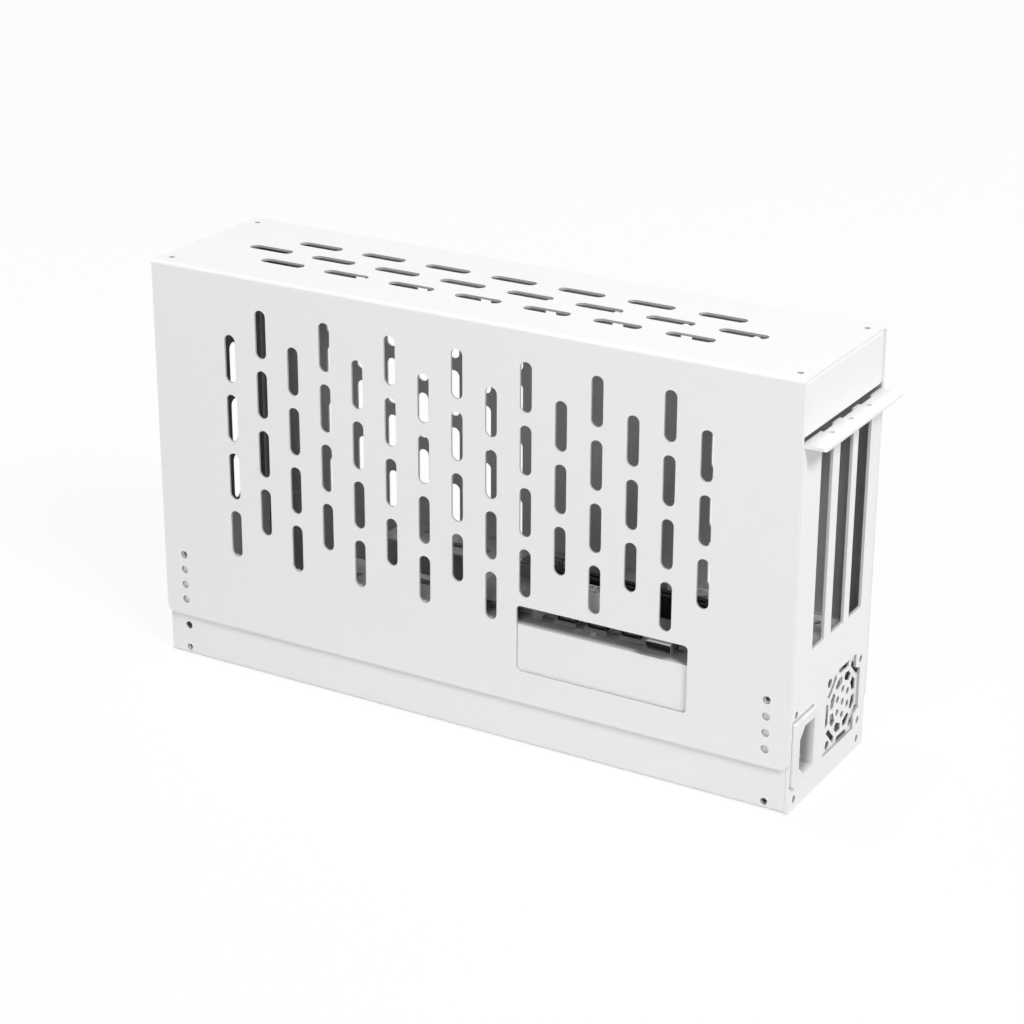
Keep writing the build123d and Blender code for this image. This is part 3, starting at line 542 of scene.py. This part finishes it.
def pressed_cross(turns, centres, floor, arm, reach, depth):
    """Sinks a cross into each turned top, above the floor.

    The depth times a soft step down at arm from the nearer axis, fading out at reach.
    """
    soft = 0.25
    away = np.abs(turns[..., :2] - centres[:, None, None, :2])
    near, far = away.min(-1), away.max(-1)
    groove = np.clip(((1 + soft) * arm - near) / (2 * soft * arm), 0, 1)
    fade = np.clip((reach - far) / (soft * reach), 0, 1)
    sunk = turns.copy()
    sunk[..., 2] -= depth * groove * fade * (turns[..., 2] > floor)
    return sunk


def ribbon(path, width, thick, shifts):
    """Flat strips: a rectangle, wide along X, carried along a path and repeated at each shift."""
    axis = np.array((1.0, 0.0, 0.0))
    along = np.gradient(path, axis=0)
    along /= np.linalg.norm(along, axis=1, keepdims=True)
    outward = np.cross(along, axis)
    corners = np.array([(-1, -1), (1, -1), (1, 1), (-1, 1)]) / 2
    sideways = corners[:, :1] * width * axis
    ring = path[:, None] + sideways + corners[:, 1:] * thick * outward[:, None]
    return ring[None] + shifts[:, None, None, :]


def along_x(places):
    """Shifts along X to these places."""
    return np.stack([places, np.zeros_like(places), np.zeros_like(places)], -1)


def build_board_screws():
    """Pan heads with a pressed cross on ringed shanks: profiles of radius and height, turned.

    The shank's radius dips by a triangle wave. The head's radius is a power of a cosine, and its
    rise a power of a sine.
    """
    inset = 5 * mm
    shank_radius, groove, grooves = 1.4 * mm, 0.22 * mm, 12
    head_radius, head_tall, head_side, tip = 2.75 * mm, 1.7 * mm, 0.25, 0.02 * mm
    radius_power, rise_power = 0.6, 0.8
    across = (board_left + inset, (board_left + board_high.x) / 2, board_high.x - inset)
    x, y = np.meshgrid(across, (board_front + inset, board_high.y - inset), indexing="ij")
    centres = np.stack([x.ravel(), y.ravel(), np.zeros(x.size)], -1)
    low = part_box("board_screws")[0].z
    share = np.linspace(0, 1, 41)
    dip = np.abs(2 * (share * grooves % 1) - 1)
    shank = np.stack([shank_radius - groove * dip, low + (board_top - low) * share], -1)
    quarter = np.linspace(0, 1, 30) * np.pi / 2
    narrow = np.concatenate([[1.0], np.cos(quarter) ** radius_power])
    crown = head_side + (1 - head_side) * np.sin(quarter) ** rise_power
    rise = board_top + head_tall * np.concatenate([[0.0], crown])
    head = np.stack([np.maximum(head_radius * narrow, tip), rise], -1)
    shanks, heads = turned(shank, 24, centres), turned(head, 96, centres)
    cross = {"floor": board_top + 0.6 * mm, "arm": 0.32 * mm, "reach": 1.5 * mm, "depth": 0.7 * mm}
    sweeps = [shanks, pressed_cross(heads, centres, **cross)]
    build_piece("board_screw_set", sweeps, steel, "board_screws")


def build_capacitors():
    """Cans with a beaded neck, a rolled rim and a pressed vent: a turned profile.

    The bead narrows the body by a bell curve of height, the rim is a quarter circle, and the lid
    slopes down to lie just below it.
    """
    row = board_front + 43 * mm
    along = board_left + np.array((33, 104, 112, 120)) * mm
    radius, rim_round = 3.15 * mm, 0.5 * mm
    bead_depth, bead_height, bead_width = 0.28 * mm, 1.4 * mm, 0.3 * mm
    lid_drop, lid_slope = 0.12 * mm, 0.08
    lid_radius = radius - rim_round
    centres = np.stack([along, np.full_like(along, row), np.zeros_like(along)], -1)
    low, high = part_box("board_capacitors")
    tall = high.z - low.z
    share = np.linspace(0, 1, 40)
    bead = bead_depth * np.exp(-(((share * tall - bead_height) / bead_width) ** 2))
    body = np.stack([radius - bead, low.z + share * (tall - rim_round)], -1)
    turn = np.linspace(0, np.pi / 2, 8)[1:]
    rim_rise = high.z - rim_round + rim_round * np.sin(turn)
    rim = np.stack([lid_radius + rim_round * np.cos(turn), rim_rise], -1)
    inward = np.linspace(1, 0.01, 24)[1:]
    lid_fall = lid_drop * np.clip((1 - inward) / lid_slope, 0, 1)
    lid = np.stack([lid_radius * inward, high.z - lid_fall], -1)
    cans = turned(np.concatenate([body, rim, lid]), 96, centres)
    vent = {"floor": high.z - 0.2 * mm, "arm": 0.14 * mm, "reach": 2.3 * mm, "depth": 0.1 * mm}
    sweeps = [pressed_cross(cans, centres, **vent)]
    finish = can_metal("can_metal")
    build_piece("board_capacitor_set", sweeps, finish, "board_capacitors")


def build_card_contacts():
    """Spring contacts on both sides of the card groove.

    Strips along a path that rises straight and bows in by a bell curve.
    """
    pitch, end_gap = 1.0 * mm, 2.8 * mm
    first_from_right, key_from_right = 86.1 * mm, 12.6 * mm
    foot, tall = 8.2 * mm, 7.2 * mm
    stand_off, bow, bow_place, bow_width = 0.86 * mm, 0.42 * mm, 0.68, 0.2
    width, thick = 0.55 * mm, 0.12 * mm
    low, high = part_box("card_slot")
    middle = (low.y + high.y) / 2
    key = high.x - key_from_right
    left_row = np.arange(high.x - first_from_right, key - end_gap, pitch)
    right_row = np.arange(key + pitch, high.x - end_gap, pitch)
    shifts = along_x(np.concatenate([left_row, right_row]))
    share = np.linspace(0, 1, 9)
    aside = stand_off - bow * np.exp(-(((share - bow_place) / bow_width) ** 2))
    rise = high.z - foot + share * tall
    paths = [np.stack([0 * share, middle + side * aside, rise], -1) for side in (-1, 1)]
    rows = [ribbon(path, width, thick, shifts) for path in paths]
    build_piece("card_slot_contacts", rows, steel)


def build_port_contacts():
    """Contact strips on both faces of the port's tongue: strips along a straight path."""
    count, pitch, from_middle = 10, 0.85 * mm, 0.47 * mm
    width, thick = 0.42 * mm, 0.06 * mm
    low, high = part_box("link_port_insert")
    middle = (low + high) / 2
    shifts = along_x(middle.x + (np.arange(count) - (count - 1) / 2) * pitch)
    y = low.y + np.array((0.4, 1.0, 3.0, 6.0)) * mm
    levels = [np.full_like(y, middle.z + side * from_middle) for side in (-1, 1)]
    rows = [ribbon(np.stack([0 * y, y, z], -1), width, thick, shifts) for z in levels]
    build_piece("link_port_contacts", rows, steel)


def build_edge_contacts():
    """Pins inside the low sockets of the board's edge.

    Strips along a level path that turns down by a quarter circle at its rear.
    """
    count, pitch = 7, 1.1 * mm
    width, thick, bend = 0.4 * mm, 0.12 * mm, 0.35 * mm
    low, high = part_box("edge_sockets")
    sockets = low.x + np.array((4.9, 21.0, 38.55)) * mm
    spread = (np.arange(count) - (count - 1) / 2) * pitch
    shifts = along_x((sockets[:, None] + spread).reshape(-1))
    front, rear = low.y + 0.9 * mm, high.y - 1.1 * mm
    level, foot = low.z + 1.3 * mm, low.z + 0.65 * mm
    turn = np.linspace(0, np.pi / 2, 5)
    y = np.concatenate([[front], rear + bend * np.sin(turn), [rear + bend]])
    z = np.concatenate([[level], level - bend * (1 - np.cos(turn)), [foot]])
    pins = ribbon(np.stack([0 * y, y, z], -1), width, thick, shifts)
    build_piece("edge_socket_contacts", [pins], steel)


build_board_screws()
build_capacitors()
build_card_contacts()
build_port_contacts()
build_edge_contacts()


# Studio


def seen_straight(wire):
    """1 for rays from the camera, a reflection or a clear piece, 0 for light on the object."""
    kinds = ("Is Camera Ray", "Is Glossy Ray", "Is Transmission Ray")
    camera, glossy, through = (wire.node("LightPath", output=kind) for kind in kinds)
    return camera.either(glossy).either(through)


def floor_material():
    """Pale floor: white to the camera and to reflections, with enough of itself for a shadow."""
    material, place = start_material("studio_floor")
    white_share = 0.9
    seen = seen_straight(place)
    cloud = noise(place, scale=3)
    lit = cloud.mix(grey(0.60), grey(0.62))
    pale = cloud.mix(grey(0.88), grey(0.90))
    matt = {"Base Color": seen.mix(lit, pale), "Roughness": 1.0, "Specular IOR Level": 0.0}
    ground = place.node("BsdfPrincipled", inputs=matt)
    white = place.node("Emission", inputs={"Color": (1, 1, 1, 1), "Strength": 1.0})
    surface = place.node("MixShader", inputs={0: seen * white_share, 1: ground, 2: white})
    place.node("OutputMaterial", inputs={"Surface": surface})
    return material


def build_floor():
    """Flat square about the origin: a grid of x and y, with z just under the base."""
    reach, drop = 6.0, 0.5 * mm
    side = np.linspace(-reach, reach, 3)
    x, y = np.meshgrid(side, side)
    points = np.stack([x, y, np.full_like(x, -drop)], -1).reshape(-1, 3)
    index = np.arange(x.size).reshape(x.shape)
    faces = np.stack([index[:-1, :-1], index[:-1, 1:], index[1:, 1:], index[1:, :-1]], -1)
    mesh = bpy.data.meshes.new("floor")
    mesh.from_pydata(points.tolist(), [], faces.reshape(-1, 4).tolist())
    mesh.materials.append(floor_material())
    floor = bpy.data.objects.new("floor", mesh)
    scene.collection.objects.link(floor)


def build_world():
    """Even white studio: full white behind the object, softer for the light that falls on it."""
    light_strength = 0.22
    world = bpy.data.worlds.new("studio")
    world.use_nodes = True
    world.node_tree.nodes.clear()
    wire = Wire(world.node_tree)
    light = wire.node("Background", inputs={"Color": (1, 1, 1, 1), "Strength": light_strength})
    white = wire.node("Background", inputs={"Color": (1, 1, 1, 1), "Strength": 1.0})
    surface = wire.node("MixShader", inputs={0: seen_straight(wire), 1: light, 2: white})
    wire.node("OutputWorld", inputs={"Surface": surface})
    scene.world = world


def soft_box(name, place, size, power):
    """Square area lamp that looks from its place to the middle of the object."""
    aim = Vector((0, 0, 0.1))
    lamp = bpy.data.lights.new(name, "AREA")
    lamp.shape = "SQUARE"
    lamp.size = size
    lamp.energy = power
    made = bpy.data.objects.new(name, lamp)
    scene.collection.objects.link(made)
    made.location = place
    made.rotation_euler = (aim - Vector(place)).to_track_quat("-Z", "Y").to_euler()


def build_camera():
    """Camera as the photograph's: place, line of sight, a slight roll and a long lens."""
    sight = Vector((-0.467874, 0.799752, -0.376152))
    roll = Quaternion((0, 0, 1), math.radians(0.2176))
    lens = bpy.data.cameras.new("camera")
    lens.sensor_width = 36
    lens.lens = 92.137
    lens.clip_start = 0.05
    lens.clip_end = 50
    camera = bpy.data.objects.new("camera", lens)
    scene.collection.objects.link(camera)
    camera.rotation_mode = "QUATERNION"
    camera.rotation_quaternion = sight.to_track_quat("-Z", "Y") @ roll
    camera.location = (0.59748, -1.01457, 0.57576)
    scene.camera = camera


build_floor()
build_world()
soft_box("key_lamp", (2.56, -1.32, 2.86), size=1.1, power=114)
soft_box("front_lamp", (0.4, -2.85, 1.45), size=1.2, power=26)
soft_box("rear_lamp", (0.8, 3.0, 0.6), size=1.4, power=29)
soft_box("left_lamp", (-2.9, 0.4, 0.5), size=1.4, power=24)
soft_box("roof_lamp", (-0.38, 0.0, 3.2), size=0.18, power=18)
build_camera()
